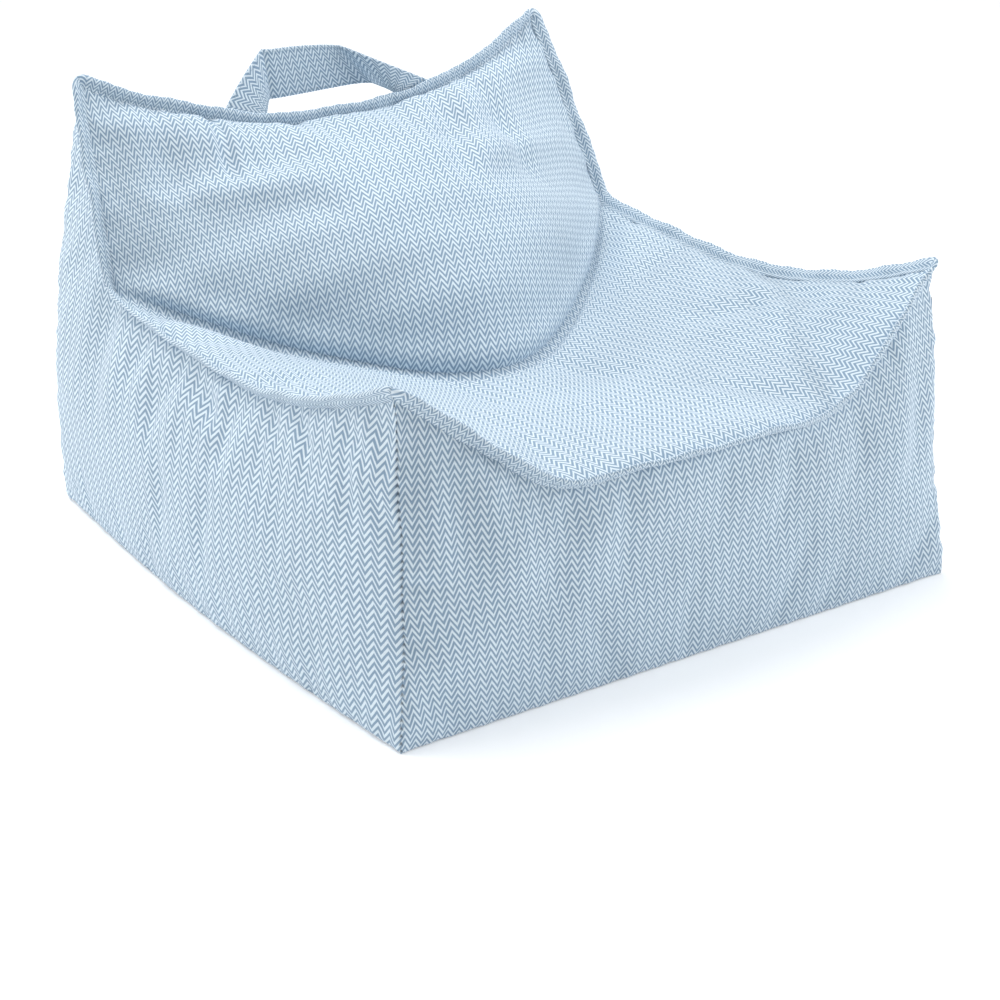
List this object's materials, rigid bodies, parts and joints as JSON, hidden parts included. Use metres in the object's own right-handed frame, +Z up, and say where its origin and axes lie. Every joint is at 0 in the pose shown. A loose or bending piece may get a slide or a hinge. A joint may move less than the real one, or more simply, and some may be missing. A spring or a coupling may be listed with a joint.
{
  "type": "bean bag chair",
  "caption": "Child-size lounge bean bag with a hollowed seat, raised arms, a two-eared backrest, a flanged edge, a carry handle and a zipped, bead-filled liner.",
  "frame": {"origin": "on the floor, under the middle of the bag", "axes": "+Z up, front of the seat towards -Y, +X to the right seen from the front"},
  "size_m": [0.644, 0.7018, 0.4429],
  "materials": {
    "cover_fabric": "pale blue and white herringbone outdoor cloth, matt",
    "base_fabric": "plain-woven outdoor cloth, matt",
    "zip_tape": "woven polyester tape",
    "zip_teeth": "moulded polyester coil",
    "zip_metal": "satin nickel plate",
    "liner_fabric": "white non-woven polyester",
    "beads": "expanded polystyrene beads"
  },
  "bodies": {
    "bag": {"seat_back_panel": "cover_fabric", "front_panel": "cover_fabric", "left_side_panel": "cover_fabric", "right_side_panel": "cover_fabric", "rear_lower_panel": "cover_fabric", "rear_upper_panel": "cover_fabric", "base_panel": "base_fabric", "front_flange": "cover_fabric", "top_flange": "cover_fabric", "left_arm_flange": "cover_fabric", "right_arm_flange": "cover_fabric", "left_back_flange": "cover_fabric", "right_back_flange": "cover_fabric", "zip_upper_tape": "zip_tape", "zip_lower_tape": "zip_tape", "zip_upper_chain": "zip_teeth", "zip_lower_chain": "zip_teeth", "zip_start_stop": "zip_metal", "zip_end_stop": "zip_metal", "inner_liner": "liner_fabric", "liner_zip_rear_tape": "zip_tape", "liner_zip_front_tape": "zip_tape", "liner_zip_rear_chain": "zip_teeth", "liner_zip_front_chain": "zip_teeth", "liner_zip_start_stop": "zip_metal", "liner_zip_end_stop": "zip_metal", "bead_fill": "beads"},
    "handle": {"carry_handle": "cover_fabric"},
    "cover_slider": {"zip_slider": "zip_metal"},
    "pull_tab": {"zip_pull_tab": "zip_metal"},
    "liner_slider": {"liner_zip_slider": "zip_metal"}
  },
  "joints": [
    {"name": "handle_fold", "type": "hinge", "parent": "bag", "child": "handle", "pos_m": [0, 0.27, 0.39], "axis": [1, 0, 0], "range_deg": [-100, 45]},
    {"name": "cover_zip", "type": "slide", "parent": "bag", "child": "cover_slider", "axis": [1, 0, 0], "range_m": [0, 0.414]},
    {"name": "tab_flip", "type": "hinge", "parent": "cover_slider", "child": "pull_tab", "pos_m": [-0.207, 0.33, 0.062], "axis": [0, 0, 1], "range_deg": [0, 176]},
    {"name": "liner_zip", "type": "slide", "parent": "bag", "child": "liner_slider", "axis": [1, 0, 0], "range_m": [0, 0.369]}
  ]
}
